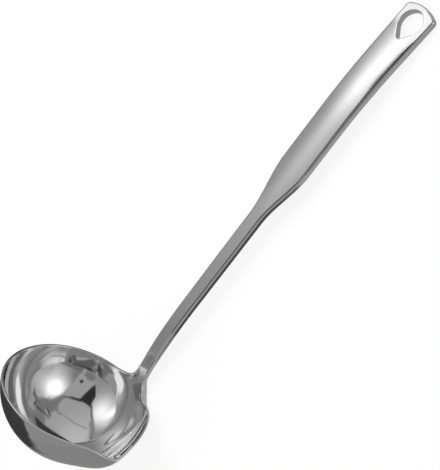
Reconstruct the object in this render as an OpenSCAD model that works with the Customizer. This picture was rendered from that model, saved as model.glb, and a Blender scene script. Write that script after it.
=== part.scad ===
// Sauce ladle in polished stainless steel, one piece: a deep round bowl with a pouring lip
// at its side, a narrow arm rising from the rim, and a flat handle with a teardrop hanging hole.
// All sizes in millimetres. It lies on its back, as it comes to rest on a table.
// The shape is set out in the bowl's own frame: the rim circle round the origin, its axis along z,
// the arm standing at +x, the pouring lip towards -y. The last step turns it into its lying pose.

/* [Bowl] */
// Outside radius of the bowl at its rim
bowl_radius = 36; // [33:0.5:40]
// Outside depth of the bowl below its rim
bowl_depth = 32; // [29:0.5:36]
// Thickness of the steel wall
wall = 1.2; // [0.9:0.1:1.6]
// Outward lean of the wall at the rim, in degrees
rim_lean = 5.2; // [2:0.2:8]
// How far the upper wall stays steep, measured down from the rim
steep_side = 14.6; // [12:0.2:17]
// How far the bottom stays flat, measured out from the bowl's axis
flat_base = 20.9; // [17:0.2:23]
// Rounding of the rim's two edges
rim_round = 0.4; // [0.2:0.05:0.42]

/* [Pouring lip] */
// How far the tip of the lip stands out beyond the flared rim
lip_reach = 5.6; // [3:0.25:9]
// Half of the angle round the rim over which the lip grows, in degrees
lip_half_angle = 45; // [38:1:52]
// Sharpness of the beak seen from above, higher is more pointed
lip_sharpness = 2.3; // [1.8:0.1:3]
// Rounding of the tip, in degrees round the rim
lip_tip_round = 2.5; // [1:0.5:6]
// How far the rim dips at the tip
lip_dip = 2.8; // [0:0.2:4]
// Half of the angle over which the rim dips, in degrees
dip_half_angle = 16; // [10:1:24]
// Depth below the rim at which the lip's channel runs out
lip_depth = 31; // [24:1:31]
// Hollowness of the channel under the tip
lip_hollow = 0.9; // [0.8:0.05:1.6]

/* [Side flare] */
// How far the wall beside the lip is pressed out
flare_reach = 2; // [0.5:0.1:3]
// Angle round the rim where the flare begins, in degrees, the arm being at 0
flare_start = -104; // [-112:1:-98]
// Angle round the rim where the flare ends beside the arm, in degrees
flare_end = -10; // [-16:1:-8]
// Angle over which the flare fades in and out, in degrees
flare_soft = 26; // [20:1:32]
// Depth of the pressed fold beside the arm
fold_near_arm = 10; // [8:0.5:13]
// Depth of the pressed fold under the lip
fold_under_lip = 25; // [20:0.5:28]
// Angle over which the fold runs down, in degrees
fold_span = 46; // [38:1:56]
// Crispness of the fold line
fold_crisp = 2.4; // [1.8:0.1:3]

/* [Arm] */
// Radius of the fillets where the arm rises from the rim
root_fillet = 8.5; // [6:0.25:9]
// Extra thickness behind the rim at the arm's root
root_boss = 2.7; // [1.5:0.1:3.5]
// Depth below the rim at which the root's thickness has run out into the wall
root_boss_depth = 15; // [10:0.5:20]
// Thickness of the arm's neck, just above the rim
neck_thickness = 2.6; // [2.2:0.1:3.6]
// Width of the arm above its root
arm_width = 7.5; // [5.5:0.1:8.5]
// Width of the arm below the shoulder
arm_top_width = 8.1; // [5.5:0.1:9]
// Thickness of the arm
arm_thickness = 3.7; // [3:0.05:4.4]
// Lean of the arm away from the bowl's axis, in degrees
arm_lean = 18.2; // [14:0.1:21]
// Distance along the arm at which it has reached that lean
arm_bend_end = 57.7; // [45:0.5:70]
// Distance along the arm at which the shoulder starts to widen
shoulder_start = 106; // [96:1:110]
// Distance along the arm at which the shoulder has its full width
shoulder_end = 138; // [128:1:144]

/* [Handle] */
// Length from the rim to the end, measured along the front face
length = 230.4; // [226:0.2:240]
// Width of the handle above the shoulder
handle_width = 18.1; // [14:0.2:20]
// Width of the handle at its end
end_width = 19.3; // [17:0.1:21]
// Thickness of the handle
handle_thickness = 3.85; // [3.2:0.05:4.6]
// Thickness at the handle's end
end_thickness = 4; // [3.4:0.05:4.8]
// Lean of the handle at its end, in degrees from the bowl's axis
end_lean = 24.85; // [19:0.05:27]
// Distance along the handle at which it starts to lean back further
back_bend_start = 157; // [145:1:165]
// Distance along the handle at which it has reached its last lean
back_bend_end = 207; // [195:1:215]
// Height of the rounded front face's crown
crown = 0.5; // [0.2:0.05:0.8]
// Rounding of the long edges
edge_round = 1.1; // [0.5:0.05:1.2]
// Rise of the arched end over its corners
end_arch = 2.5; // [1.5:0.1:3.5]
// Rounding of the two end corners
end_corner = 2.4; // [1.2:0.1:3]

/* [Hanging hole] */
// Radius of the hole's round end
hole_radius = 6.4; // [4.5:0.1:6.5]
// Distance from the handle's end to the centre of the round end
hole_inset = 9.4; // [9.2:0.1:12]
// Distance from that centre down to the point of the teardrop
hole_point = 9; // [7.6:0.1:9.5]
// Rounding of the teardrop's point
hole_point_round = 1.5; // [0.8:0.1:2]
// Rounding of the hole's edges
hole_round = 0.4; // [0.2:0.05:0.6]

/* [Shown] */
// Which piece is drawn

/* [Hidden] */

// steps of the facets
rows = 16;
steps_far = 34;
steps_lip = 24;
steps_near = 9;
steps_root = 12;
steps_corner = 2;
steps_fillet = 6;
steps_arm = 28;
steps_side = 6;
steps_turn = 3;
steps_arch = 10;
steps_face = 3;

function blend(t) = let (u = min(max(t, 0), 1)) u * u * (3 - 2 * u);
function mix(a, b, t) = a + (b - a) * t;
function curve(c, u) =
    let (v = 1 - u)
    v * v * v * c[0] + 3 * v * v * u * c[1] + 3 * v * u * u * c[2] + u * u * u * c[3];
function slope(c, u) =
    let (v = 1 - u)
    3 * v * v * (c[1] - c[0]) + 6 * v * u * (c[2] - c[1]) + 3 * u * u * (c[3] - c[2]);

// Plain wall of the bowl

// outer profile, u from 0 at the rim to 1 at the bottom
profile_r = [bowl_radius, bowl_radius - steep_side * sin(rim_lean), flat_base, 0];
profile_z = [0, -steep_side * cos(rim_lean), -bowl_depth, -bowl_depth];

// radius and height of the wall at u, depth measured from the inner face
function wall_at(u, depth) =
    let (
        tr = slope(profile_r, u),
        tz = slope(profile_z, u),
        m = sqrt(tr * tr + tz * tz),
        k = wall - min(depth, wall)
    )
    [max(curve(profile_r, u) + k * tz / m, 0) + max(depth - wall, 0), curve(profile_z, u) - k * tr / m];

inner_radius = wall_at(0, 0)[0];

// Pouring lip, side flare and the root's boss

// how far the wall stands out at an angle and a depth below the rim
function lip_out(angle, below) =
    let (
        off = abs(angle + 90),
        away = sqrt(off * off + lip_tip_round * lip_tip_round) - lip_tip_round
    )
    away < lip_half_angle && below < lip_depth
    ? lip_reach * pow(1 - away / lip_half_angle, lip_sharpness) * pow(1 - below / lip_depth, lip_hollow)
    : 0;

function flare_out(angle, below) =
    let (
        fade = blend((angle - flare_start) / flare_soft) * blend((flare_end - angle) / flare_soft),
        fold = mix(fold_near_arm, fold_under_lip, blend((flare_end - 3 - angle) / fold_span)),
        h = 1 - pow(below / fold, fold_crisp)
    )
    flare_reach * fade * 0.5 * (h + sqrt(h * h + 0.01));

function rim_drop(angle, below) =
    let (
        off = abs(angle + 90),
        away = sqrt(off * off + lip_tip_round * lip_tip_round) - lip_tip_round
    )
    lip_dip * (1 - blend(away / dip_half_angle)) * pow(max(1 - below / lip_depth, 0), 2);

function boss(angle, below) =
    root_boss * (1 - blend((abs(angle) - 9) / 15)) * (1 - blend(below / root_boss_depth));

// a point of the bowl: angle round the axis, u down the wall, depth through it, rise above the rim
function bowl_point(angle, u, depth, rise = 0) =
    let (
        p = wall_at(u, depth),
        below = max(0, -p[1]),
        r = p[0] + lip_out(angle, below) + flare_out(angle, below) + rise * sin(rim_lean),
        z = p[1] - rim_drop(angle, below) + rise * cos(rim_lean)
    )
    [r * cos(angle), r * sin(angle), z];

function outer_depth(angle, u) = wall + boss(angle, max(0, -wall_at(u, wall)[1]));

// rounded edge of a plate of thickness t: steps of [how far out, how deep] from front to back
function edge_steps(q, t) = concat(
    [for (i = [1:steps_corner]) let (a = 90 * i / steps_corner) [q * sin(a), q * (1 - cos(a))]],
    [for (i = [steps_corner:-1:1]) let (a = 90 * i / steps_corner) [q * sin(a), t - q * (1 - cos(a))]]
);

// Centre line of the arm and handle, on the front face

function plain_lean(s) =
    mix(1.4, arm_lean, blend((s + 12.7) / (arm_bend_end + 12.7))) +
    (end_lean - arm_lean) * blend((s - back_bend_start) / (back_bend_end - back_bend_start));
function lean(s) = plain_lean(s) + (rim_lean - plain_lean(0)) * (1 - blend(s / 15));

spine_step = 0.5;
spine_count = ceil(length / spine_step) + 4;
spine = [
    for (
        i = 0, x = wall_at(0, 0)[0], z = wall_at(0, 0)[1];
        i <= spine_count;
        x = x + spine_step * sin(lean((i + 0.5) * spine_step)),
        z = z + spine_step * cos(lean((i + 0.5) * spine_step)),
        i = i + 1
    ) [x, z]
];
function spine_at(s) =
    let (f = max(0, s) / spine_step, i = min(floor(f), spine_count - 1))
    mix(spine[i], spine[i + 1], f - i);

function half_width(s) =
    mix(arm_width, arm_top_width, blend((s - 30) / 70)) / 2 +
    (handle_width - arm_top_width) / 2 * blend((s - shoulder_start) / (shoulder_end - shoulder_start)) +
    (end_width - handle_width) / 2 * blend((s - back_bend_start) / (length - back_bend_start));

function rim_angle(y) = asin(min(max(y / inner_radius, -1), 1));

function thickness(s, y = 0) =
    mix(
        mix(wall + boss(rim_angle(y), 0), neck_thickness, blend(s / 8)),
        arm_thickness,
        blend((s - 6) / 26)
    ) +
    (handle_thickness - arm_thickness) * blend((s - shoulder_start) / (shoulder_end - shoulder_start)) +
    (end_thickness - handle_thickness) * blend((s - back_bend_start) / (length - back_bend_start));

// rounding that the thickness leaves room for, from the rim's to the handle's
function rounding(s, y) = min(mix(rim_round, edge_round, blend(s / 14)), 0.42 * thickness(s, y));

// a point of the arm or handle: s along it, y across it, depth behind the front face
function strap_point(s, y, depth) =
    let (
        c = spine_at(s),
        a = lean(s),
        hug = 1 - blend(s / 20),
        w = half_width(s),
        o = depth - hug * (inner_radius - sqrt(max(inner_radius * inner_radius - y * y, 0))) +
            crown * blend((s - shoulder_start) / 30) * pow(y / w, 2) * (1 - depth / thickness(s))
    )
    [c[0] + o * cos(a), y, c[1] - o * sin(a)];

// Angles round the rim

root_half_width = arm_width / 2 + root_fillet;
root_angle = rim_angle(root_half_width);
lip_from = 240;
lip_to = 300;
rim_angles = concat(
    [for (i = [0:steps_far - 1]) mix(root_angle, lip_from, i / steps_far)],
    [for (i = [0:steps_lip - 1]) mix(lip_from, lip_to, i / steps_lip)],
    [for (i = [0:steps_near]) mix(lip_to, 360 - root_angle, i / steps_near)]
);
free_steps = len(rim_angles) - 1;
root_angles = [for (i = [1:steps_root - 1]) rim_angle(root_half_width * (2 * i / steps_root - 1))];
angles = [for (a = concat(rim_angles, root_angles)) a > 180 ? a - 360 : a];
n = len(angles);

rim_edge = edge_steps(rim_round, wall);
edge_count = 2 * steps_corner;

bowl_points = concat(
    [for (i = [0:rows - 1]) for (a = angles) bowl_point(a, i / rows, 0)],
    [for (i = [0:rows - 1]) for (a = angles) bowl_point(a, i / rows, outer_depth(a, i / rows))],
    [bowl_point(0, 1, 0), bowl_point(0, 1, wall)],
    [for (j = [0:free_steps]) for (e = rim_edge)
        bowl_point(angles[j], 0, e[1] * outer_depth(angles[j], 0) / wall, e[0])]
);

// Stations up the arm: [s, half width, outward direction along s, outward direction along y]

fillet_end = rim_round + root_fillet;
arm_end = length - hole_inset - hole_point - 4.5;
function width_slope(s) = half_width(s + 0.5) - half_width(s - 0.5);
function station(s, straight) =
    let (d = straight ? 0 : width_slope(s), m = sqrt(1 + d * d))
    [s, half_width(s), -d / m, 1 / m];
stations = concat(
    [for (i = [1:steps_fillet]) let (a = 90 * i / steps_fillet)
        [rim_round + root_fillet * (1 - cos(a)), root_half_width - root_fillet * sin(a), cos(a), sin(a)]],
    [for (i = [1:steps_arm]) station(mix(fillet_end, arm_end, i / steps_arm), i == steps_arm)]
);
station_count = len(stations);
across = [for (i = [0:steps_root]) 2 * i / steps_root - 1];
row_count = steps_root + 1;
ring_size = 2 * row_count + 2 * edge_count;

function ring_points(t) =
    let (
        thick = thickness(t[0], t[1]),
        q = rounding(t[0], t[1]),
        s = t[0] - q * t[2],
        y = t[1] - q * t[3],
        e = edge_steps(q, thick)
    )
    concat(
        [for (k = across) strap_point(s, y * k, 0)],
        [for (o = e) strap_point(s + o[0] * t[2], y + o[0] * t[3], o[1])],
        [for (i = [steps_root:-1:0]) strap_point(s, y * across[i], thickness(s, y * across[i]))],
        [for (i = [edge_count - 1:-1:0]) strap_point(s + e[i][0] * t[2], -y - e[i][0] * t[3], e[i][1])]
    );

// Outline of the handle's end, from its +y side over the arch to its -y side

end_half = half_width(length);
arch_radius = (end_half * end_half + end_arch * end_arch) / (2 * end_arch);
arch_centre = length - arch_radius;
corner_y = end_half - end_corner;
corner_s = arch_centre + sqrt(pow(arch_radius - end_corner, 2) - corner_y * corner_y);
corner_angle = atan2(corner_y, corner_s - arch_centre);
end_side = concat(
    [for (i = [1:steps_side]) let (s = mix(arm_end, corner_s, i / steps_side))
        [s, i == steps_side ? end_half : half_width(s), 0, 1]],
    [for (i = [1:steps_turn]) let (a = mix(90, corner_angle, i / steps_turn))
        [corner_s + end_corner * cos(a), corner_y + end_corner * sin(a), cos(a), sin(a)]]
);
end_outline = concat(
    end_side,
    [for (i = [1:steps_arch - 1]) let (a = corner_angle * (1 - 2 * i / steps_arch))
        [arch_centre + arch_radius * cos(a), arch_radius * sin(a), cos(a), sin(a)]],
    [for (i = [len(end_side) - 1:-1:0]) let (t = end_side[i]) [t[0], -t[1], t[2], -t[3]]]
);
outline_count = len(end_outline);
column_size = edge_count + 2;

function end_front(t) = let (q = rounding(t[0], 0)) [t[0] - q * t[2], t[1] - q * t[3]];
function column_points(t) =
    let (
        thick = thickness(t[0]),
        e = edge_steps(rounding(t[0], 0), thick),
        f = end_front(t)
    )
    concat(
        [strap_point(f[0], f[1], 0)],
        [for (o = e) strap_point(f[0] + o[0] * t[2], f[1] + o[0] * t[3], o[1])],
        [strap_point(f[0], f[1], thick)]
    );

// Teardrop hole

hole_centre = length - hole_inset;
point_centre = hole_point - hole_point_round;
tangent_angle = acos((hole_radius - hole_point_round) / point_centre);
point_angle = atan2(
    hole_point_round * sin(tangent_angle),
    point_centre + hole_point_round * cos(tangent_angle)
);
// radius of the teardrop in a direction measured from the handle's length, 180 being its point
function teardrop(direction) =
    let (a = abs(180 - abs(direction)))
    a > tangent_angle ? hole_radius
    : a > point_angle ? hole_radius / cos(tangent_angle - a)
    : point_centre * cos(a) + sqrt(max(pow(hole_point_round, 2) - pow(point_centre * sin(a), 2), 0));

face_loop = concat(
    [for (k = across) [arm_end, (half_width(arm_end) - rounding(arm_end, 0)) * k]],
    [for (t = end_outline) end_front(t)]
);
loop_count = len(face_loop);
hole_loop = [
    for (p = face_loop)
        let (d = atan2(p[1], p[0] - hole_centre), r = teardrop(d) + hole_round)
        [hole_centre + r * cos(d), r * sin(d)]
];
function face_points(g, back) = [
    for (k = [0:loop_count - 1])
        let (p = mix(face_loop[k], hole_loop[k], g / steps_face))
        strap_point(p[0], p[1], back ? thickness(p[0]) : 0)
];

// rounded wall through the hole, from the front face to the back
function hole_points(m) = [
    for (p = hole_loop)
        let (
            d = atan2(p[1], p[0] - hole_centre),
            o = edge_steps(hole_round, thickness(p[0]))[m],
            r = teardrop(d) + hole_round - o[0]
        )
        strap_point(hole_centre + r * cos(d), r * sin(d), o[1])
];

own_points = concat(
    bowl_points,
    [for (t = stations) for (p = ring_points(t)) p],
    [for (t = end_outline) for (p = column_points(t)) p],
    [for (g = [1:steps_face]) for (p = concat(face_points(g, false), face_points(g, true))) p],
    [for (m = [0:edge_count - 1]) for (p = hole_points(m)) p]
);

// Numbering of the points

outer_base = rows * n;
pole = 2 * rows * n;
edge_base = pole + 2;
ring_base = edge_base + (free_steps + 1) * edge_count;
column_base = ring_base + station_count * ring_size;
face_base = column_base + outline_count * column_size;
hole_base = face_base + steps_face * 2 * loop_count;

function edge(j, k) = k == 0 ? j : k > edge_count ? outer_base + j : edge_base + j * edge_count + k - 1;
root_row = concat([free_steps], [for (i = [free_steps + 1:n - 1]) i], [0]);
function root_ring(k) =
    k < row_count ? root_row[k]
    : k < row_count + edge_count ? edge(0, k - row_count + 1)
    : k < 2 * row_count + edge_count ? outer_base + root_row[2 * row_count + edge_count - 1 - k]
    : edge(free_steps, ring_size - k);
function ring(i, k) = i == 0 ? root_ring(k) : ring_base + (i - 1) * ring_size + k;
function column(c, k) =
    c == 0 ? ring(station_count, k == 0 ? row_count - 1 : row_count + k - 1)
    : c > outline_count ? ring(station_count, k == 0 ? 0 : 2 * row_count + edge_count - 1 +
        (k > edge_count ? 0 : edge_count + 1 - k))
    : column_base + (c - 1) * column_size + k;
function front(g, k) =
    g > 0 ? face_base + (g - 1) * 2 * loop_count + k
    : k < row_count ? ring(station_count, k) : column(k - row_count + 1, 0);
function back(g, k) =
    g > 0 ? face_base + (g - 1) * 2 * loop_count + loop_count + k
    : k < row_count ? ring(station_count, 2 * row_count + edge_count - 1 - k)
    : column(k - row_count + 1, edge_count + 1);
function hole(m, k) =
    m == 0 ? front(steps_face, k)
    : m > edge_count ? back(steps_face, k)
    : hole_base + (m - 1) * loop_count + k;

function tile(a, b, c, d) = [[a, c, b], [a, d, c]];

faces = concat(
    [for (i = [0:rows - 2]) for (j = [0:n - 1]) let (k = (j + 1) % n)
        for (f = tile(i * n + j, i * n + k, (i + 1) * n + k, (i + 1) * n + j)) f],
    [for (i = [0:rows - 2]) for (j = [0:n - 1]) let (k = (j + 1) % n, o = outer_base)
        for (f = tile(o + i * n + j, o + (i + 1) * n + j, o + (i + 1) * n + k, o + i * n + k)) f],
    [for (j = [0:n - 1]) [(rows - 1) * n + j, pole, (rows - 1) * n + (j + 1) % n]],
    [for (j = [0:n - 1]) [outer_base + (rows - 1) * n + j, outer_base + (rows - 1) * n + (j + 1) % n, pole + 1]],
    [for (j = [0:free_steps - 1]) for (k = [0:edge_count])
        for (f = tile(edge(j, k), edge(j, k + 1), edge(j + 1, k + 1), edge(j + 1, k))) f],
    [for (i = [0:station_count - 1]) for (k = [0:ring_size - 1]) let (l = (k + 1) % ring_size)
        for (f = tile(ring(i, k), ring(i + 1, k), ring(i + 1, l), ring(i, l))) f],
    [for (c = [0:outline_count]) for (k = [0:edge_count])
        for (f = tile(column(c, k), column(c + 1, k), column(c + 1, k + 1), column(c, k + 1))) f],
    [for (g = [0:steps_face - 1]) for (k = [0:loop_count - 1]) let (l = (k + 1) % loop_count)
        for (f = concat(
            tile(front(g, k), front(g + 1, k), front(g + 1, l), front(g, l)),
            tile(back(g, k), back(g, l), back(g + 1, l), back(g + 1, k))
        )) f],
    [for (m = [0:edge_count]) for (k = [0:loop_count - 1]) let (l = (k + 1) % loop_count)
        for (f = tile(hole(m, k), hole(m + 1, k), hole(m + 1, l), hole(m, l))) f]
);

// Lying pose: on the back of the bowl and the end of the handle, the bowl open towards the handle

heel = strap_point(length - rounding(length, 0), 0, thickness(length));
back_line = [for (i = [0:rows - 1]) bowl_point(0, i / rows, outer_depth(0, i / rows))];
rest_angle = min([for (p = back_line) atan2(heel[0] - p[0], heel[2] - p[2])]);

function lie(p) = [
    p[0] * sin(rest_angle) + p[2] * cos(rest_angle),
    p[1],
    p[2] * sin(rest_angle) - p[0] * cos(rest_angle)
];
lying = [for (p = own_points) lie(p)];
xs = [for (p = lying) p[0]];
ys = [for (p = lying) p[1]];
zs = [for (p = lying) p[2]];
shift = [(min(xs) + max(xs)) / 2, (min(ys) + max(ys)) / 2, min(zs)];

module ladle() {
    color([0.78, 0.79, 0.8]) polyhedron(points = [for (p = lying) p - shift], faces = faces, convexity = 8);
}

ladle();
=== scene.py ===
from math import acos, asin, atan2, ceil, cos, degrees, exp, hypot, pi, radians, sin, sqrt

import bpy
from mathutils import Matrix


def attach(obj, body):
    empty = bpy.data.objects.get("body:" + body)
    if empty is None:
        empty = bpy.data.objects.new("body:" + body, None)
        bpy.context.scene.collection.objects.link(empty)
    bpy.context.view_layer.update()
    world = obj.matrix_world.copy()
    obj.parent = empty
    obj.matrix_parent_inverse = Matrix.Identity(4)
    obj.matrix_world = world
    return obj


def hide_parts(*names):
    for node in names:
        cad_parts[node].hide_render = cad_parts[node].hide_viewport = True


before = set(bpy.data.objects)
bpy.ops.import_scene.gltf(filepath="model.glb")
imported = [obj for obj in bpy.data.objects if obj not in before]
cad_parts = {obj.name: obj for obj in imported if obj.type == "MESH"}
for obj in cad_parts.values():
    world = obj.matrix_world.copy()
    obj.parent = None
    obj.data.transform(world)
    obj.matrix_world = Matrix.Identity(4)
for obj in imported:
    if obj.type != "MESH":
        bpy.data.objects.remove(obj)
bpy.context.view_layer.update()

# Sauce ladle in polished steel. Lengths are in millimetres here and become metres in the mesh.

# Camera, where the photograph was taken from, solved from the rim's ellipse and the edges of
# the handle

camera_data = bpy.data.cameras.new("camera")
camera_data.lens = 97.41
camera_data.sensor_width = 36
camera_data.clip_start = 0.02
camera_data.clip_end = 50
camera = bpy.data.objects.new("camera", camera_data)
camera.location = (0.14804, -0.35860, 0.46524)
camera.rotation_euler = (radians(16.7159), radians(38.4978), radians(-41.7828))
bpy.context.scene.collection.objects.link(camera)
bpy.context.scene.camera = camera
bpy.context.scene.view_settings.view_transform = "Standard"

# Sizes of the ladle, the same as in its CAD source

bowl_radius, bowl_depth, wall = 36, 32, 1.2
rim_lean, steep_side, flat_base, rim_round = 5.2, 14.6, 20.9, 0.4
lip_reach, lip_half_angle, lip_sharpness, lip_tip_round = 5.6, 45, 2.3, 2.5
lip_dip, dip_half_angle, lip_depth, lip_hollow = 2.8, 16, 31, 0.9
flare_reach, flare_start, flare_end, flare_soft = 2, -104, -10, 26
fold_near_arm, fold_under_lip, fold_span, fold_crisp = 10, 25, 46, 2.4
root_fillet, root_boss, root_boss_depth = 8.5, 2.7, 15
arm_width, arm_top_width, arm_thickness, neck_thickness = 7.5, 8.1, 3.7, 2.6
arm_lean, arm_bend_end, shoulder_start, shoulder_end = 18.2, 57.7, 106, 138
length, handle_width, end_width = 230.4, 18.1, 19.3
handle_thickness, end_thickness, end_lean = 3.85, 4, 24.85
back_bend_start, back_bend_end, crown, edge_round = 157, 207, 0.5, 1.1
end_arch, end_corner = 2.5, 2.4
hole_radius, hole_inset, hole_point, hole_point_round, hole_round = 6.4, 9.4, 9, 1.5, 0.4

# Where these shapes blend into each other: degrees round the rim from the arm, and millimetres
# along the arm from the rim

lip_from, lip_to = 240, 300
boss_flat, boss_fade = 9, 15
fold_start, fold_softness = 3, 0.01
root_lean, arm_bend_start, rim_lean_end = 1.4, -12.7, 15
arm_widens_from, arm_widens_over = 30, 70
neck_end, arm_thickens_from, arm_thickens_over = 8, 6, 26
rim_round_end, round_share = 14, 0.42
round_root_end, crown_rise = 20, 30
face_margin = 4.5


def cosd(a):
    return cos(radians(a))


def sind(a):
    return sin(radians(a))


def blend(t):
    t = min(max(t, 0.0), 1.0)
    return t * t * (3 - 2 * t)


def mix(a, b, t):
    return a + (b - a) * t


# Plain wall of the bowl, u from 0 at the rim to 1 at the bottom

profile_r = (bowl_radius, bowl_radius - steep_side * sind(rim_lean), flat_base, 0)
profile_z = (0, -steep_side * cosd(rim_lean), -bowl_depth, -bowl_depth)


def curve(c, u):
    v = 1 - u
    return v * v * v * c[0] + 3 * v * v * u * c[1] + 3 * v * u * u * c[2] + u * u * u * c[3]


def slope(c, u):
    v = 1 - u
    return 3 * v * v * (c[1] - c[0]) + 6 * v * u * (c[2] - c[1]) + 3 * u * u * (c[3] - c[2])


def wall_at(u, depth):
    """The wall's distance from the axis and its height, at a depth behind the inner face."""
    r, z = slope(profile_r, u), slope(profile_z, u)
    size = hypot(r, z)
    inset = wall - min(depth, wall)
    out = max(curve(profile_r, u) + inset * z / size, 0) + max(depth - wall, 0)
    return out, curve(profile_z, u) - inset * r / size


inner_radius = wall_at(0, 0)[0]


# Lip, flare, rim and root of the arm

def lip_away(angle):
    """Degrees round the rim from the lip's tip, rounded off at the tip."""
    return hypot(angle + 90, lip_tip_round) - lip_tip_round


def lip_out(angle, below):
    """How far the lip stands out, at an angle round the rim and a depth below it."""
    away = lip_away(angle)
    if away >= lip_half_angle or below >= lip_depth:
        return 0
    return (lip_reach * (1 - away / lip_half_angle) ** lip_sharpness
            * (1 - below / lip_depth) ** lip_hollow)


def flare_out(angle, below):
    """How far the wall beside the lip is pressed out, down to a fold with a soft corner."""
    fade = blend((angle - flare_start) / flare_soft) * blend((flare_end - angle) / flare_soft)
    lower = blend((flare_end - fold_start - angle) / fold_span)
    fold = mix(fold_near_arm, fold_under_lip, lower)
    rest = 1 - (below / fold) ** fold_crisp
    return flare_reach * fade * 0.5 * (rest + sqrt(rest * rest + fold_softness))


def rim_drop(angle, below):
    dip = 1 - blend(lip_away(angle) / dip_half_angle)
    return lip_dip * dip * max(1 - below / lip_depth, 0) ** 2


def boss(angle, below):
    """Extra thickness behind the rim at the arm's root."""
    beside = 1 - blend((abs(angle) - boss_flat) / boss_fade)
    return root_boss * beside * (1 - blend(below / root_boss_depth))


def bowl_point(angle, u, depth, rise=0):
    """Angle round the axis, u down the wall, depth through it and rise above the rim."""
    r, z = wall_at(u, depth)
    below = max(0, -z)
    r += lip_out(angle, below) + flare_out(angle, below) + rise * sind(rim_lean)
    z += rise * cosd(rim_lean) - rim_drop(angle, below)
    return r * cosd(angle), r * sind(angle), z


def outer_depth(angle, u):
    return wall + boss(angle, max(0, -wall_at(u, wall)[1]))


def edge_steps(r, thick, steps):
    """Outward and inward steps round two rounded edges, from the front face to the back."""
    front = [(r * sin(pi / 2 * i / steps), r * (1 - cos(pi / 2 * i / steps)))
             for i in range(1, steps + 1)]
    return front + [(out, thick - d) for out, d in reversed(front)]


# Arm and handle: a strap along a curved line that leaves the rim

def plain_lean(s):
    return (mix(root_lean, arm_lean,
                blend((s - arm_bend_start) / (arm_bend_end - arm_bend_start)))
            + (end_lean - arm_lean)
            * blend((s - back_bend_start) / (back_bend_end - back_bend_start)))


def lean(s):
    return plain_lean(s) + (rim_lean - plain_lean(0)) * (1 - blend(s / rim_lean_end))


spine_step = 0.5
spine = [wall_at(0, 0)]
for index in range(ceil(length / spine_step) + 4):
    turn = lean((index + 0.5) * spine_step)
    spine.append((spine[-1][0] + spine_step * sind(turn),
                  spine[-1][1] + spine_step * cosd(turn)))


def spine_at(s):
    at = max(0, s) / spine_step
    i = min(int(at), len(spine) - 2)
    return tuple(mix(spine[i][k], spine[i + 1][k], at - i) for k in (0, 1))


def shoulder_share(s):
    return blend((s - shoulder_start) / (shoulder_end - shoulder_start))


def end_share(s):
    return blend((s - back_bend_start) / (length - back_bend_start))


def half_width(s):
    return (mix(arm_width, arm_top_width, blend((s - arm_widens_from) / arm_widens_over)) / 2
            + (handle_width - arm_top_width) / 2 * shoulder_share(s)
            + (end_width - handle_width) / 2 * end_share(s))


def rim_angle(y):
    return degrees(asin(min(max(y / inner_radius, -1), 1)))


def thickness(s, y=0):
    return (mix(mix(wall + boss(rim_angle(y), 0), neck_thickness, blend(s / neck_end)),
                arm_thickness, blend((s - arm_thickens_from) / arm_thickens_over))
            + (handle_thickness - arm_thickness) * shoulder_share(s)
            + (end_thickness - handle_thickness) * end_share(s))


def rounding(s, y=0):
    return min(mix(rim_round, edge_round, blend(s / rim_round_end)),
               round_share * thickness(s, y))


def strap_point(s, y, depth):
    """A point of the strap: s along it, y across it and depth behind its front face."""
    x, z = spine_at(s)
    hug = 1 - blend(s / round_root_end)
    back = depth - hug * (inner_radius - sqrt(max(inner_radius ** 2 - y * y, 0)))
    back += (crown * blend((s - shoulder_start) / crown_rise) * (y / half_width(s)) ** 2
             * (1 - depth / thickness(s)))
    return x + back * cosd(lean(s)), y, z - back * sind(lean(s))


# the teardrop: a round end and a rounded point, joined by straight sides that touch both
point_centre = hole_point - hole_point_round
touch = acos((hole_radius - hole_point_round) / point_centre)
point_angle = atan2(hole_point_round * sin(touch), point_centre + hole_point_round * cos(touch))


def teardrop(direction):
    """Distance from the centre of the hole's round end to its edge."""
    a = abs(pi - abs(direction))
    if a > touch:
        return hole_radius
    if a > point_angle:
        return hole_radius / cos(touch - a)
    return (point_centre * cos(a)
            + sqrt(max(hole_point_round ** 2 - (point_centre * sin(a)) ** 2, 0)))


# Mesh of the whole ladle, as one closed surface

rows, steps_far, steps_lip, steps_near, steps_root = 56, 150, 110, 44, 28
steps_corner, steps_fillet, steps_arm, steps_side = 5, 16, 110, 16
steps_turn, steps_arch, steps_face = 8, 28, 7
points, faces = [], []


def add(point):
    points.append(point)
    return len(points) - 1


root_half = arm_width / 2 + root_fillet
root_angle = rim_angle(root_half)
angles = [mix(root_angle, lip_from, i / steps_far) for i in range(steps_far)]
angles += [mix(lip_from, lip_to, i / steps_lip) for i in range(steps_lip)]
angles += [mix(lip_to, 360 - root_angle, i / steps_near) for i in range(steps_near + 1)]
last_free = len(angles) - 1
angles += [rim_angle(root_half * (2 * i / steps_root - 1)) for i in range(1, steps_root)]
angles = [a - 360 if a > 180 else a for a in angles]
around = len(angles)

# the bowl's two faces, from the rim to the bottom
inner = [[add(bowl_point(a, i / rows, 0)) for a in angles] for i in range(rows)]
outer = [[add(bowl_point(a, i / rows, outer_depth(a, i / rows))) for a in angles]
         for i in range(rows)]
inner_pole, outer_pole = add(bowl_point(0, 1, 0)), add(bowl_point(0, 1, wall))
for i in range(rows - 1):
    for j in range(around):
        k = (j + 1) % around
        faces.append((inner[i][j], inner[i][k], inner[i + 1][k], inner[i + 1][j]))
        faces.append((outer[i][j], outer[i + 1][j], outer[i + 1][k], outer[i][k]))
for j in range(around):
    k = (j + 1) % around
    faces.append((inner[-1][j], inner[-1][k], inner_pole))
    faces.append((outer[-1][j], outer_pole, outer[-1][k]))

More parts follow.
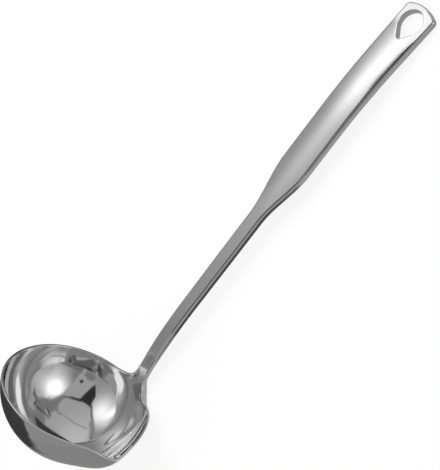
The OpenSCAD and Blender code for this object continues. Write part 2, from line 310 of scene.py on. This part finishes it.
# the rounded rim, wherever the arm doesn't rise from it
rim = []
for j in range(last_free + 1):
    thick = outer_depth(angles[j], 0)
    middle = [add(bowl_point(angles[j], 0, d * thick / wall, out))
              for out, d in edge_steps(rim_round, wall, steps_corner)]
    rim.append([inner[0][j]] + middle + [outer[0][j]])
for near, far in zip(rim, rim[1:]):
    for k in range(len(near) - 1):
        faces.append((near[k], near[k + 1], far[k + 1], far[k]))

# the arm's root, the arm and the handle up to the hole, ring after ring
front = [last_free] + list(range(last_free + 1, around)) + [0]
ring = ([inner[0][j] for j in front] + rim[0][1:-1] + [outer[0][j] for j in reversed(front)]
        + rim[last_free][1:-1][::-1])
arm_foot = rim_round + root_fillet
face_start = length - hole_inset - hole_point - face_margin
stations = []
for i in range(1, steps_fillet + 1):
    a = pi / 2 * i / steps_fillet
    stations.append((arm_foot - root_fillet * cos(a), root_half - root_fillet * sin(a),
                     cos(a), sin(a)))
for i in range(1, steps_arm + 1):
    s = mix(arm_foot, face_start, i / steps_arm)
    tilt = 0 if i == steps_arm else half_width(s + 0.5) - half_width(s - 0.5)
    size = hypot(1, tilt)
    stations.append((s, half_width(s), -tilt / size, 1 / size))
across = [2 * i / steps_root - 1 for i in range(steps_root + 1)]
for s, y, out_s, out_y in stations:
    r = rounding(s, y)
    edge = edge_steps(r, thickness(s, y), steps_corner)
    s, y = s - r * out_s, y - r * out_y
    fresh = [add(strap_point(s, y * k, 0)) for k in across]
    fresh += [add(strap_point(s + out * out_s, y + out * out_y, d)) for out, d in edge]
    fresh += [add(strap_point(s, y * k, thickness(s, y * k))) for k in reversed(across)]
    fresh += [add(strap_point(s + out * out_s, -y - out * out_y, d))
              for out, d in reversed(edge)]
    for k in range(len(ring)):
        n = (k + 1) % len(ring)
        faces.append((ring[k], fresh[k], fresh[n], ring[n]))
    ring = fresh

# Handle's arched end and the teardrop hole

end_half = half_width(length)
arch_radius = (end_half ** 2 + end_arch ** 2) / (2 * end_arch)
arch_centre = length - arch_radius
corner_y = end_half - end_corner
corner_s = arch_centre + sqrt((arch_radius - end_corner) ** 2 - corner_y ** 2)
corner_angle = atan2(corner_y, corner_s - arch_centre)
side = []
for i in range(1, steps_side + 1):
    s = mix(face_start, corner_s, i / steps_side)
    side.append((s, end_half if i == steps_side else half_width(s), 0, 1))
for i in range(1, steps_turn + 1):
    a = mix(pi / 2, corner_angle, i / steps_turn)
    side.append((corner_s + end_corner * cos(a), corner_y + end_corner * sin(a),
                 cos(a), sin(a)))
arch = []
for i in range(1, steps_arch):
    a = corner_angle * (1 - 2 * i / steps_arch)
    arch.append((arch_centre + arch_radius * cos(a), arch_radius * sin(a), cos(a), sin(a)))
outline = side + arch + [(s, -y, out_s, -out_y) for s, y, out_s, out_y in reversed(side)]

# the rounded edge round the end
wide, corner = steps_root + 1, 2 * steps_corner
loop = [(face_start, (half_width(face_start) - rounding(face_start)) * k) for k in across]
columns = [ring[wide - 1:wide + corner + 1]]
for s, y, out_s, out_y in outline:
    thick, r = thickness(s), rounding(s)
    edge = edge_steps(r, thick, steps_corner)
    s, y = s - r * out_s, y - r * out_y
    loop.append((s, y))
    columns.append([add(strap_point(s, y, 0))]
                   + [add(strap_point(s + out * out_s, y + out * out_y, d)) for out, d in edge]
                   + [add(strap_point(s, y, thick))])
columns.append([ring[0]] + ring[2 * wide + corner - 1:][::-1])
for near, far in zip(columns, columns[1:]):
    for k in range(len(near) - 1):
        faces.append((near[k], far[k], far[k + 1], near[k + 1]))

# the front and back faces between the outline and the hole, then the hole's wall
hole_centre = length - hole_inset
hole = []
for s, y in loop:
    a = atan2(y, s - hole_centre)
    r = teardrop(a) + hole_round
    hole.append((hole_centre + r * cos(a), r * sin(a)))
front_loops = [ring[:wide] + [c[0] for c in columns[1:-1]]]
back_loops = [ring[wide + corner:2 * wide + corner][::-1] + [c[-1] for c in columns[1:-1]]]
for i in range(1, steps_face + 1):
    flat = [(mix(a[0], b[0], i / steps_face), mix(a[1], b[1], i / steps_face))
            for a, b in zip(loop, hole)]
    front_loops.append([add(strap_point(s, y, 0)) for s, y in flat])
    back_loops.append([add(strap_point(s, y, thickness(s))) for s, y in flat])
for i in range(steps_face):
    f, g, b, c = front_loops[i], front_loops[i + 1], back_loops[i], back_loops[i + 1]
    for k in range(len(loop)):
        n = (k + 1) % len(loop)
        faces.append((f[k], g[k], g[n], f[n]))
        faces.append((b[k], b[n], c[n], c[k]))
hole_loops = [front_loops[-1]]
for number in range(2 * steps_corner):
    hole_loops.append([])
    for s, y in hole:
        a = atan2(y, s - hole_centre)
        out, d = edge_steps(hole_round, thickness(s), steps_corner)[number]
        r = teardrop(a) + hole_round - out
        hole_loops[-1].append(add(strap_point(hole_centre + r * cos(a), r * sin(a), d)))
hole_loops.append(back_loops[-1])
for near, far in zip(hole_loops, hole_loops[1:]):
    for k in range(len(loop)):
        n = (k + 1) % len(loop)
        faces.append((near[k], far[k], far[n], near[n]))

# Lying pose: the bowl's back and the handle's end touch the floor

heel = strap_point(length - rounding(length), 0, thickness(length))
steps_back = 400
backs = [bowl_point(0, i / steps_back, outer_depth(0, i / steps_back))
         for i in range(steps_back)]
lying = radians(min(degrees(atan2(heel[0] - p[0], heel[2] - p[2])) for p in backs))
points = [(x * sin(lying) + z * cos(lying), y, z * sin(lying) - x * cos(lying))
          for x, y, z in points]
lowest = min(p[2] for p in points)
middle = [(min(p[k] for p in points) + max(p[k] for p in points)) / 2 for k in (0, 1)]
points = [((x - middle[0]) / 1000, (y - middle[1]) / 1000, (z - lowest) / 1000)
          for x, y, z in points]

mesh = bpy.data.meshes.new("ladle_polished")
mesh.from_pydata(points, [], faces)
mesh.validate()
mesh.polygons.foreach_set("use_smooth", [True] * len(mesh.polygons))
mesh.set_sharp_from_angle(angle=radians(50))
ladle = bpy.data.objects.new("ladle_polished", mesh)
bpy.context.scene.collection.objects.link(ladle)

# Materials

def material(name):
    made = bpy.data.materials.new(name)
    made.use_nodes = True
    made.node_tree.nodes.clear()
    return made, made.node_tree.nodes, made.node_tree.links


def node(nodes, kind, values):
    """A new node with some of its inputs set."""
    made = nodes.new(kind)
    for name, value in values.items():
        made.inputs[name].default_value = value
    return made


steel, nodes, links = material("polished_steel")
output = nodes.new("ShaderNodeOutputMaterial")
surface = node(nodes, "ShaderNodeBsdfPrincipled", {"Metallic": 1})
links.new(surface.outputs[0], output.inputs[0])
coords = nodes.new("ShaderNodeTexCoord")

# colour: polished stainless steel with a faint uneven tint
tint_noise = node(nodes, "ShaderNodeTexNoise", {"Scale": 38, "Detail": 3})
tint = nodes.new("ShaderNodeValToRGB")
tint.color_ramp.elements[0].position = 0.3
tint.color_ramp.elements[0].color = (0.83, 0.83, 0.835, 1)
tint.color_ramp.elements[1].position = 0.7
tint.color_ramp.elements[1].color = (0.88, 0.88, 0.88, 1)
links.new(coords.outputs["Object"], tint_noise.inputs["Vector"])
links.new(tint_noise.outputs["Fac"], tint.inputs["Fac"])
links.new(tint.outputs["Color"], surface.inputs["Base Color"])

# roughness: a mirror polish with cloudy patches left by the buffing wheel
cloud = node(nodes, "ShaderNodeTexNoise", {"Scale": 90, "Detail": 5})
cloud_range = node(nodes, "ShaderNodeMapRange",
                   {"From Min": 0.35, "From Max": 0.65, "To Min": 0.05, "To Max": 0.09})
links.new(coords.outputs["Object"], cloud.inputs["Vector"])
links.new(cloud.outputs["Fac"], cloud_range.inputs["Value"])
links.new(cloud_range.outputs["Result"], surface.inputs["Roughness"])

# fine polishing lines that run along the ladle
stretch = node(nodes, "ShaderNodeMapping", {"Scale": (60, 1400, 1400)})
lines = node(nodes, "ShaderNodeTexNoise", {"Scale": 1, "Detail": 2})
relief = node(nodes, "ShaderNodeBump", {"Strength": 0.05, "Distance": 0.00002})
links.new(coords.outputs["Object"], stretch.inputs["Vector"])
links.new(stretch.outputs["Vector"], lines.inputs["Vector"])
links.new(lines.outputs["Fac"], relief.inputs["Height"])
links.new(relief.outputs["Normal"], surface.inputs["Normal"])
mesh.materials.append(steel)

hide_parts("ladle")
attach(ladle, "root")

# Floor and sky: white, also for what the steel reflects, with the ladle's soft shadow

def seen_rays(nodes, links):
    """1 for camera, glossy and transmission rays, and 0 for the rest."""
    path = nodes.new("ShaderNodeLightPath")
    total = path.outputs["Is Camera Ray"]
    for name in ("Is Glossy Ray", "Is Transmission Ray"):
        both = nodes.new("ShaderNodeMath")
        both.operation = "MAXIMUM"
        links.new(total, both.inputs[0])
        links.new(path.outputs[name], both.inputs[1])
        total = both.outputs[0]
    return total


white, nodes, links = material("white_floor")
output = nodes.new("ShaderNodeOutputMaterial")
paint = node(nodes, "ShaderNodeBsdfDiffuse", {"Color": (0.9, 0.9, 0.9, 1)})
glow = node(nodes, "ShaderNodeEmission", {"Strength": 1})
share = node(nodes, "ShaderNodeMath", {1: 0.86})
share.operation = "MULTIPLY"
links.new(seen_rays(nodes, links), share.inputs[0])
both = nodes.new("ShaderNodeMixShader")
links.new(share.outputs[0], both.inputs["Fac"])
links.new(paint.outputs[0], both.inputs[1])
links.new(glow.outputs[0], both.inputs[2])
links.new(both.outputs[0], output.inputs[0])

floor_mesh = bpy.data.meshes.new("floor")
floor_mesh.from_pydata([(-4, -4, 0), (4, -4, 0), (4, 4, 0), (-4, 4, 0)], [], [(0, 1, 2, 3)])
floor_mesh.materials.append(white)
floor = bpy.data.objects.new("floor", floor_mesh)
bpy.context.scene.collection.objects.link(floor)

world = bpy.data.worlds.new("studio")
world.use_nodes = True
nodes, links = world.node_tree.nodes, world.node_tree.links
nodes.clear()
output = nodes.new("ShaderNodeOutputWorld")
sky = node(nodes, "ShaderNodeBackground", {"Color": (1, 1, 1, 1)})
level = node(nodes, "ShaderNodeMapRange", {"To Min": 0.76, "To Max": 1})
links.new(seen_rays(nodes, links), level.inputs["Value"])
links.new(level.outputs["Result"], sky.inputs["Strength"])
links.new(sky.outputs[0], output.inputs[0])
bpy.context.scene.world = world

# Lamp: one large soft box over the ladle

lamp_data = bpy.data.lights.new("soft_box", "AREA")
lamp_data.shape = "RECTANGLE"
lamp_data.size, lamp_data.size_y = 0.9, 0.6
lamp_data.energy = 8
lamp = bpy.data.objects.new("soft_box", lamp_data)
lamp.location = (0.35, 0.55, 1.1)
lamp.rotation_euler = (radians(-27), radians(16), 0)
lamp.visible_glossy = False
bpy.context.scene.collection.objects.link(lamp)

# Glowing cards round the ladle, which only the steel reflects and which light nothing: painted
# reflections of the studio's light and shade. Some of them show in first reflections alone, and
# some only in later ones: from the second, the third or the fourth on.

shown_in = {"all": None, "first": ("LESS_THAN", 1.5), "later": ("GREATER_THAN", 1.5),
            "last": ("GREATER_THAN", 2.5), "deep": ("GREATER_THAN", 3.5)}


def card_paper(name, turns):
    """Glowing paper that shows in all reflections, or in those before or after a turn."""
    paper, nodes, links = material(name)
    output = nodes.new("ShaderNodeOutputMaterial")
    tone_of = nodes.new("ShaderNodeAttribute")
    tone_of.attribute_name = "tone"
    cover_of = nodes.new("ShaderNodeAttribute")
    cover_of.attribute_name = "cover"
    cover = cover_of.outputs["Fac"]
    if turns:
        path = nodes.new("ShaderNodeLightPath")
        turn = node(nodes, "ShaderNodeMath", {1: turns[1]})
        turn.operation = turns[0]
        part = nodes.new("ShaderNodeMath")
        part.operation = "MULTIPLY"
        links.new(path.outputs["Ray Depth"], turn.inputs[0])
        links.new(turn.outputs[0], part.inputs[0])
        links.new(cover, part.inputs[1])
        cover = part.outputs[0]
    lit = nodes.new("ShaderNodeEmission")
    clear = nodes.new("ShaderNodeBsdfTransparent")
    both = nodes.new("ShaderNodeMixShader")
    links.new(tone_of.outputs["Fac"], lit.inputs["Strength"])
    links.new(cover, both.inputs["Fac"])
    links.new(clear.outputs[0], both.inputs[1])
    links.new(lit.outputs[0], both.inputs[2])
    links.new(both.outputs[0], output.inputs[0])
    paper.cycles.emission_sampling = "NONE"
    return paper


papers = {shown: card_paper("card_" + shown, turns) for shown, turns in shown_in.items()}


def inside(x, y, corners):
    """Distance from a point to a card's edge, positive inside the card."""
    nearest, odd = 1e9, False
    for (ax, ay), (bx, by) in zip(corners, corners[1:] + corners[:1]):
        dx, dy = bx - ax, by - ay
        t = min(max(((x - ax) * dx + (y - ay) * dy) / (dx * dx + dy * dy), 0), 1)
        nearest = min(nearest, hypot(x - ax - t * dx, y - ay - t * dy))
        if (ay > y) != (by > y) and x < ax + (y - ay) * dx / dy:
            odd = not odd
    return nearest if odd else -nearest


# Three ways to give a place: on the round tent, on the floor, and on the floor round the bowl

def on_tent(x, y, radius):
    """Degrees from straight up, x leaning towards +X and y towards +Y, so that 90 is level."""
    down, bearing = radians(hypot(x, y)), atan2(y, x)
    return (radius * sin(down) * cos(bearing), radius * sin(down) * sin(bearing),
            radius * cos(down))


def on_floor(x, y, height):
    """Millimetres from the middle of the ladle."""
    return x / 1000, y / 1000, height


fan_centre, fan_start, fan_steps = -0.105, 0.025, 8


def on_fan(x, y, height):
    """x is the bearing in degrees, and y counts steps outward, the distance doubling every 8."""
    away = fan_start * 2 ** (y / fan_steps)
    return fan_centre + away * cosd(x), away * sind(x), height


def card(name, corners, tone, soft, grain, place, height, glows=(), shown="all"):
    """A sheet of one tone, with an edge as wide as soft and a mesh as fine as grain.

    A glow is broad light round one place: x, y, spread in x and y, amount.
    """
    xs, ys = [c[0] for c in corners], [c[1] for c in corners]
    nx = ceil((max(xs) - min(xs) + 2 * soft) / grain)
    ny = ceil((max(ys) - min(ys) + 2 * soft) / grain)
    grid = [(min(xs) - soft + i * grain, min(ys) - soft + j * grain)
            for j in range(ny + 1) for i in range(nx + 1)]
    cover = [blend(0.5 + inside(x, y, corners) / soft) for x, y in grid]
    tones = [tone + sum(amount * exp(-((x - gx) / wide) ** 2 - ((y - gy) / high) ** 2)
                        for gx, gy, wide, high, amount in glows) for x, y in grid]
    quads = []
    for j in range(ny):
        for i in range(nx):
            a = j * (nx + 1) + i
            quad = (a, a + 1, a + nx + 2, a + nx + 1)
            if max(cover[k] for k in quad) > 0:
                quads.append(quad)
    card_mesh = bpy.data.meshes.new(name)
    card_mesh.from_pydata([place(x, y, height) for x, y in grid], [], quads)
    for label, values in (("tone", tones), ("cover", cover)):
        card_mesh.attributes.new(label, "FLOAT", "POINT").data.foreach_set("value", values)
    card_mesh.materials.append(papers[shown])
    made = bpy.data.objects.new(name, card_mesh)
    made.visible_camera = made.visible_diffuse = made.visible_shadow = False
    bpy.context.scene.collection.objects.link(made)


def band(line, width):
    """Corners of a narrow band along a line of places."""
    left, right = [], []
    for i, (x, y) in enumerate(line):
        (ax, ay), (bx, by) = line[max(i - 1, 0)], line[min(i + 1, len(line) - 1)]
        size = hypot(bx - ax, by - ay) / width * 2
        left.append((x - (by - ay) / size, y + (bx - ax) / size))
        right.append((x + (by - ay) / size, y - (bx - ax) / size))
    return left + right[::-1]


# The tent: its walls and key light, its seams and openings, the camera's lens in it, and the
# softer light of the later reflections in the bowl

def circle(x, y, radius, turn):
    return [(x + radius * cosd(a), y + radius * sind(a)) for a in range(0, 360, turn)]


tent_cards = [
    ("tent", circle(0, 0, 92, 10), 0.3, 2, 3),
    ("back", [(2, -19), (13, -8), (25, 2), (31, 14), (34, 32), (36, 60), (38, 92), (-60, 92),
              (-70, 40), (-40, -25), (-8, -22)], 0.29, 5, 1.5,
     ((19, 22, 21, 20, 0.82), (5, 36, 13, 6.5, 0.64), (18, 47, 8, 5, 0.2),
      (-32, 37, 12, 14, -0.05))),
    ("side", [(27, 3), (31, 12), (34, 25), (36, 40), (38, 65), (38, 85), (91, 50), (91, -46),
              (74, -42), (50, -40), (37, -22), (29, -8)],
     0.35, 2.5, 1.5, ((60, 60, 40, 50, 0.2),)),
    ("front", [(-10, -24), (18, -20.5), (36, -22), (52, -42), (78, -46), (75, -92),
               (-10, -92)], 0.36, 4, 1.5),
    ("key", [(5, -49), (22, -47), (36, -47), (52, -44.5), (78, -47), (72, -92), (5, -92)],
     0.12, 3, 1.5, ((54.5, -60.2, 21.3, 17.8, 1.35), (32.6, -84, 38, 26, 0.45)), "first"),
    ("low_dark", [(-12, -47), (4, -47), (5, -92), (-12, -92)], 0.17, 3, 1.5),
    ("corner", [(52, -41), (84, -45), (94, -30), (92, -19), (79, -19), (76.5, -9), (74.5, -9),
                (73.5, -22), (70, -28), (64, -32.5), (54, -36)], 0.19, 4, 1.5),
    ("later", [(-10, -92), (92, -92), (92, 60), (-10, 60)], 0.26, 5, 2,
     ((61, -51, 15, 17, 0.75), (14, 24, 13, 15, 0.7), (28, 11, 8, 40, 0.43),
      (36, 40, 5, 11, 0.5), (25, -39, 14, 12, -0.16), (17, -46, 5, 11, 0.6),
      (38, -74, 11, 15, 0.26)), "later"),
    ("later_dark", [(24, -37), (36, -37), (50, -40), (46, -46), (34, -46), (26, -44)],
     0.19, 2, 1, (), "later"),
    ("later_white", [(41, -50), (60, -47), (74, -40), (74, -52), (60, -74), (44, -72)],
     1.05, 2, 1, (), "later"),
    ("last", [(6, -24), (31, -18), (36, 5), (36, 32), (10, 32)], 0.6, 8, 2,
     ((24, 5, 10, 20, 0.45),), "last"),
    ("last_dark", [(26, -41), (70, -44), (68, -78), (28, -74)], 0.17, 3, 1.5, (), "last"),
    ("deep_lip", [(8, -26), (40, -26), (40, 40), (8, 40)], 0.65, 3, 2,
     ((30, 4, 8, 30, 0.8),), "deep"),
    ("deep_light", [(24, -39), (72, -42), (70, -80), (26, -76)], 0.65, 3, 2, (), "deep"),
    ("later_streak", band([(1.6, -48), (2.4, -38), (2.9, -29)], 2.4),
     1.3, 1.2, 0.6, (), "later"),
    ("seam_back", band([(26, 3), (31, 15), (34.5, 30), (36.5, 50), (37, 72)], 3),
     0.12, 1.8, 0.7),
    ("seam_gap", band([(34, -15), (38, -22), (44, -31)], 4.5), 0.05, 2, 0.7),
    ("seam_front", band([(44, -31), (53.5, -40.5)], 4), 0.13, 2, 0.7),
    ("fold", band([(43.5, 39), (58.7, 19.6), (69.6, -4.3), (80.4, -24)], 2.4), 0.28, 1.8, 0.7),
    ("lens", circle(12.6, -38.5, 3, 30), 0.02, 2, 0.7),
    ("spot", circle(-7.6, -33, 2.4, 30), 0.15, 2.4, 0.8),
    ("front_dark", [(-9, -42), (1, -42), (4, -31), (0, -24), (-9, -24)], 0.2, 3, 1.2),
    ("seam_wide", [(32, 28), (39, 28), (41, 62), (34, 62)], 0.24, 5, 1.5),
    ("far_dark", [(-92, 12), (-68, 12), (-50, 60), (-92, 92)], 0.05, 3, 2),
    ("far_grey", [(-92, 12), (-60, 12), (-60, -60), (-92, -60)], 0.27, 3, 2),
]
tent_radius, tent_gap = 3, 0.03
for number, (name, corners, tone, soft, grain, *more) in enumerate(tent_cards):
    card(name, corners, tone, soft, grain, on_tent, tent_radius - tent_gap * number, *more)

# Cards that stand free over the floor: the opening between tent and table, and the dark and
# light edges that run along the arm and handle, where the dark cards are painted shade of the
# floor beside them and the light card at the end is a painted highlight.

gap_height, edge_height, over_edge = 0.4, 0.02, 0.0205
card("gap", [(-76, -114), (-50, -82), (0, -22), (50, -5), (85, 15), (105, 60), (122, 10),
             (146, -50), (185, -105), (240, -180), (170, -136), (70, -138), (-40, -126)],
     0.03, 14, 4, on_floor, gap_height, (), "first")
# painted shade: a dark card beside the arm, the shaded floor that its flanks reflect
card("painted_shade_beside_arm", [(-62, -4.5), (14, -4.5), (36, -10), (36, -1), (14, 4.5), (-62, 4.5)],
     0.06, 2, 1.25, on_floor, edge_height)
# painted shade: a dark card beside the handle, the shaded floor that its flanks reflect
card("painted_shade_beside_handle", [(34, -8), (90, -8.5), (165, -9.5), (150, -4), (133, -4), (127, -2.5),
                       (122, 3), (116, 3.9), (98, 3.4), (86, 1.4), (60, 0), (34, -0.8)],
     0.1, 3.5, 1.2, on_floor, over_edge, ((130, 0, 30, 20, -0.06),))
card("end_light", [(124, 13), (160, 13), (160, 40), (128, 40), (127.5, 28), (125.5, 19)],
     1.02, 5, 1.5, on_floor, edge_height)

# Cards on the floor, which only the steel reflects: the sheets of the table, the tones round the
# bowl, and those near the arm and handle, where the ones in front of them and under them are
# painted shade and painted contact shadow of the ladle on the floor. Each one lies a little over
# the one before.

floor_cards = [
    ("sheet", [(-3200, -20), (3200, -20), (3200, 3200), (-3200, 3200)], 0.38, 30, 30),
    ("sheet_left", [(-3200, -3200), (-125, -3200), (-125, 3200), (-3200, 3200)], 0.25, 30, 30),
    ("dark_left", [(-3200, 620), (-450, 50), (-215, 20), (-180, 60), (-150, 3200),
                   (-3200, 3200)], 0.045, 20, 20),
    ("front_right", [(-72, 6), (-72, -34), (-30, -56), (0, -75), (40, -100), (80, -125),
                     (150, -180), (420, -340), (900, -720), (3200, -2500), (3200, 0)],
     0.19, 16, 20),
    ("near_arm", [(-86, 6), (-25, 0), (-10, 10), (-30, 30), (-55, 22), (-90, 22)],
     0.2, 12, 5),
    ("dark_behind", [(-130, 22), (-52, 22), (-15, 55), (5, 75), (25, 100), (55, 125), (95, 160),
                     (160, 215), (160, 400), (-130, 400)], 0.05, 12, 6),
]
fan_cards = [
    ("fan_front", [(-92, -8), (-12, -8), (-12, 4), (-20, 9), (-25.5, 15), (-28.5, 20),
                   (-30.5, 32), (-33, 40), (-36, 58), (-92, 58)],
     0.4, 3, 2, ((-46, 40, 17, 24, 0.8),)),
    ("fan_near", [(-14, -8), (26, -8), (24, 1), (14, 4), (4, 5), (-14, 5)], 0.36, 3, 1.5),
    ("fan_side", [(-7, 60), (-7, 36), (-2, 31), (4, 24), (10, 19), (18, 16.5), (24, 17),
                  (28, 22), (33, 27), (37, 33), (42, 36), (46, 38), (60, 38), (60, 60)],
     0.37, 3, 2, ((38, 54, 20, 20, 0.25),)),
    ("fan_dark", [(25, 4), (43, 4), (43, 14), (45, 27), (50, 30), (50, 36), (42, 35), (38, 33),
                  (33, 26), (28, 20), (25, 15)], 0.04, 2.5, 1.2),
    ("fan_behind", [(44, 12), (51, 11), (51, 26), (45, 26)], 0.34, 2, 1.2),
]
near_cards = [
    ("later_front", [(-66, -52), (-46, -18), (60, -66), (230, -190), (300, -420), (100, -420),
                     (-10, -160), (-48, -100)], 0.36, 12, 5, (), "later"),
    ("later_root", [(-70, -52), (-46, -52), (-46, -8), (-70, -8)], 0.27, 6, 3, (), "later"),
    ("last_front", [(80, -190), (180, -250), (3200, -2800), (3200, -3200), (1200, -3200),
                    (120, -420)], 0.2, 20, 20, (), "last"),
    ("later_behind", [(-40, 30), (60, 20), (250, 40), (900, 100), (900, 330), (250, 160),
                      (60, 110), (-40, 70)], 0.13, 12, 10, (), "later"),
    # painted shade and painted contact shadow: grey and dark cards in front of and under the
    # arm, the handle and the hole
    ("front_of_handle", [(35, -32), (160, -32), (160, -4), (35, -4)], 0.36, 4, 2),
    ("front_of_arm", [(-78, -14), (35, -14), (35, -4), (-78, -4)], 0.15, 3, 2),
    ("under_arm", [(-60, -7), (95, -7), (95, 3), (-60, 3)], 0.06, 4, 2),
    ("under_hole", [(95, -7), (150, -7), (150, 14), (95, 14)], 0.3, 4, 2),
]
floor_gap = 0.0001
for first, cards, way in ((1, floor_cards, on_floor), (9, fan_cards, on_fan),
                          (15, near_cards, on_floor)):
    for number, (name, corners, tone, soft, grain, *more) in enumerate(cards):
        card(name, corners, tone, soft, grain, way, floor_gap * (first + number), *more)
